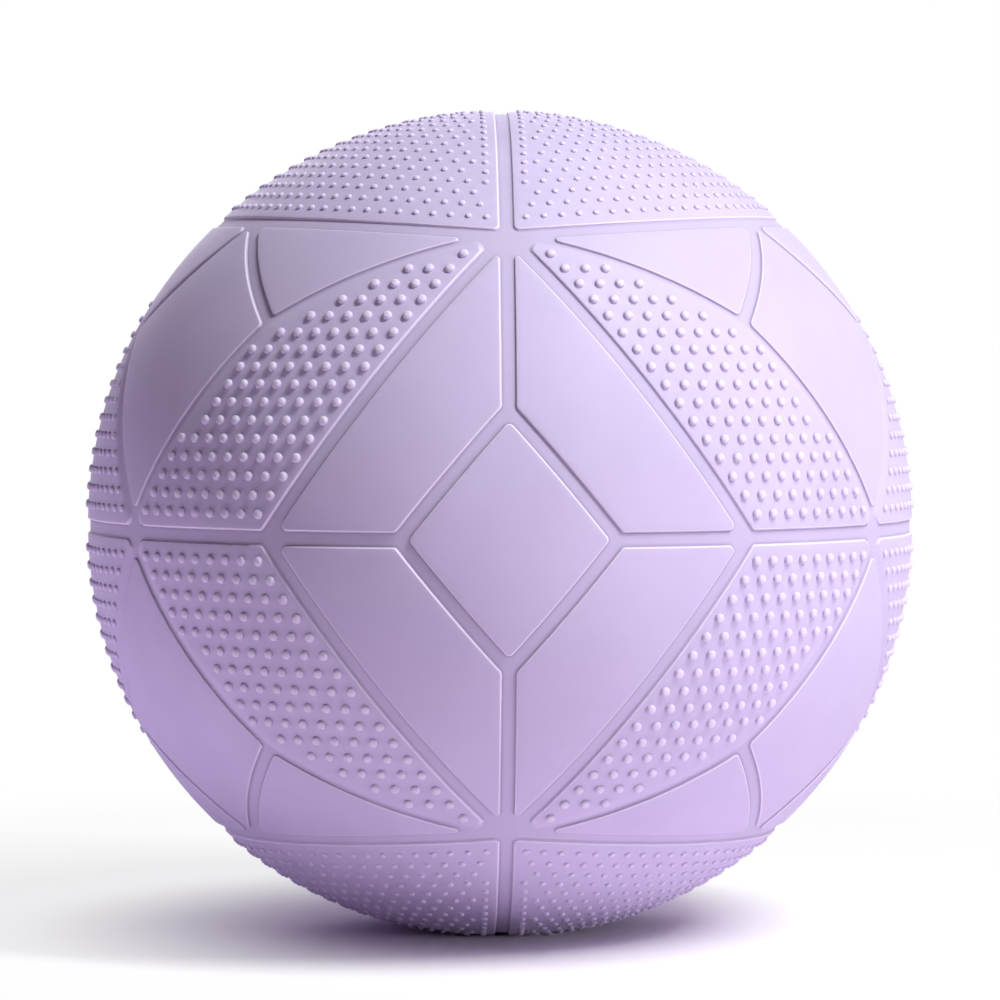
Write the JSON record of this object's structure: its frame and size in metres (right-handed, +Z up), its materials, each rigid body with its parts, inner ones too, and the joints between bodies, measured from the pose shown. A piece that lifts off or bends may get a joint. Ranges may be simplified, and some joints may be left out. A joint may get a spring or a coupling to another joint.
{
  "type": "pilates ball",
  "caption": "Small soft inflatable exercise ball with raised smooth and studded panels, sunk channels between them and a push-in air plug.",
  "frame": {"origin": "on the floor, below the middle of the ball", "axes": "+Z up, -Y towards the front diamond panel, +X to the right as seen from the front"},
  "size_m": [0.2496, 0.2493, 0.2477],
  "materials": {
    "smooth_panel": "satin moulded",
    "studded_panel": "satin moulded with studs",
    "carcass": "matt moulded",
    "bladder": "matt",
    "valve_seat": "satin moulded",
    "air_plug": "satin moulded"
  },
  "bodies": {
    "ball": {"kite_panel_front_upper_left": "smooth_panel", "kite_panel_front_upper_right": "smooth_panel", "kite_panel_front_lower_left": "smooth_panel", "kite_panel_front_lower_right": "smooth_panel", "kite_panel_back_upper_left": "smooth_panel", "kite_panel_back_upper_right": "smooth_panel", "kite_panel_back_lower_left": "smooth_panel", "kite_panel_back_lower_right": "smooth_panel", "blade_panel_front_upper_left": "studded_panel", "blade_panel_front_upper_right": "studded_panel", "blade_panel_front_lower_left": "studded_panel", "blade_panel_front_lower_right": "studded_panel", "blade_panel_back_upper_left": "studded_panel", "blade_panel_back_upper_right": "studded_panel", "blade_panel_back_lower_left": "studded_panel", "blade_panel_back_lower_right": "studded_panel", "fin_panel_front_upper_left": "smooth_panel", "fin_panel_front_upper_right": "smooth_panel", "fin_panel_front_lower_left": "smooth_panel", "fin_panel_front_lower_right": "smooth_panel", "fin_panel_back_upper_left": "smooth_panel", "fin_panel_back_upper_right": "smooth_panel", "fin_panel_back_lower_left": "smooth_panel", "fin_panel_back_lower_right": "smooth_panel", "petal_panel_front_upper_left": "smooth_panel", "petal_panel_front_upper_right": "smooth_panel", "petal_panel_front_lower_left": "smooth_panel", "petal_panel_front_lower_right": "smooth_panel", "petal_panel_back_upper_left": "smooth_panel", "petal_panel_back_upper_right": "smooth_panel", "petal_panel_back_lower_left": "smooth_panel", "petal_panel_back_lower_right": "smooth_panel", "flank_panel_upper_left": "studded_panel", "flank_panel_upper_right": "studded_panel", "flank_panel_lower_left": "studded_panel", "flank_panel_lower_right": "studded_panel", "crown_panel_upper_left": "smooth_panel", "crown_panel_upper_right": "smooth_panel", "crown_panel_lower_left": "smooth_panel", "crown_panel_lower_right": "smooth_panel", "cap_panel_upper_left": "studded_panel", "cap_panel_upper_right": "studded_panel", "cap_panel_lower_left": "studded_panel", "cap_panel_lower_right": "studded_panel", "diamond_panel_front": "smooth_panel", "diamond_panel_back": "smooth_panel", "carcass": "carcass", "bladder": "bladder", "valve_seat": "valve_seat"},
    "plug": {"air_plug": "air_plug"}
  },
  "joints": [
    {"name": "plug_pull", "type": "slide", "parent": "ball", "child": "plug", "axis": [0, 1, 0], "range_m": [0, 0.02]}
  ]
}
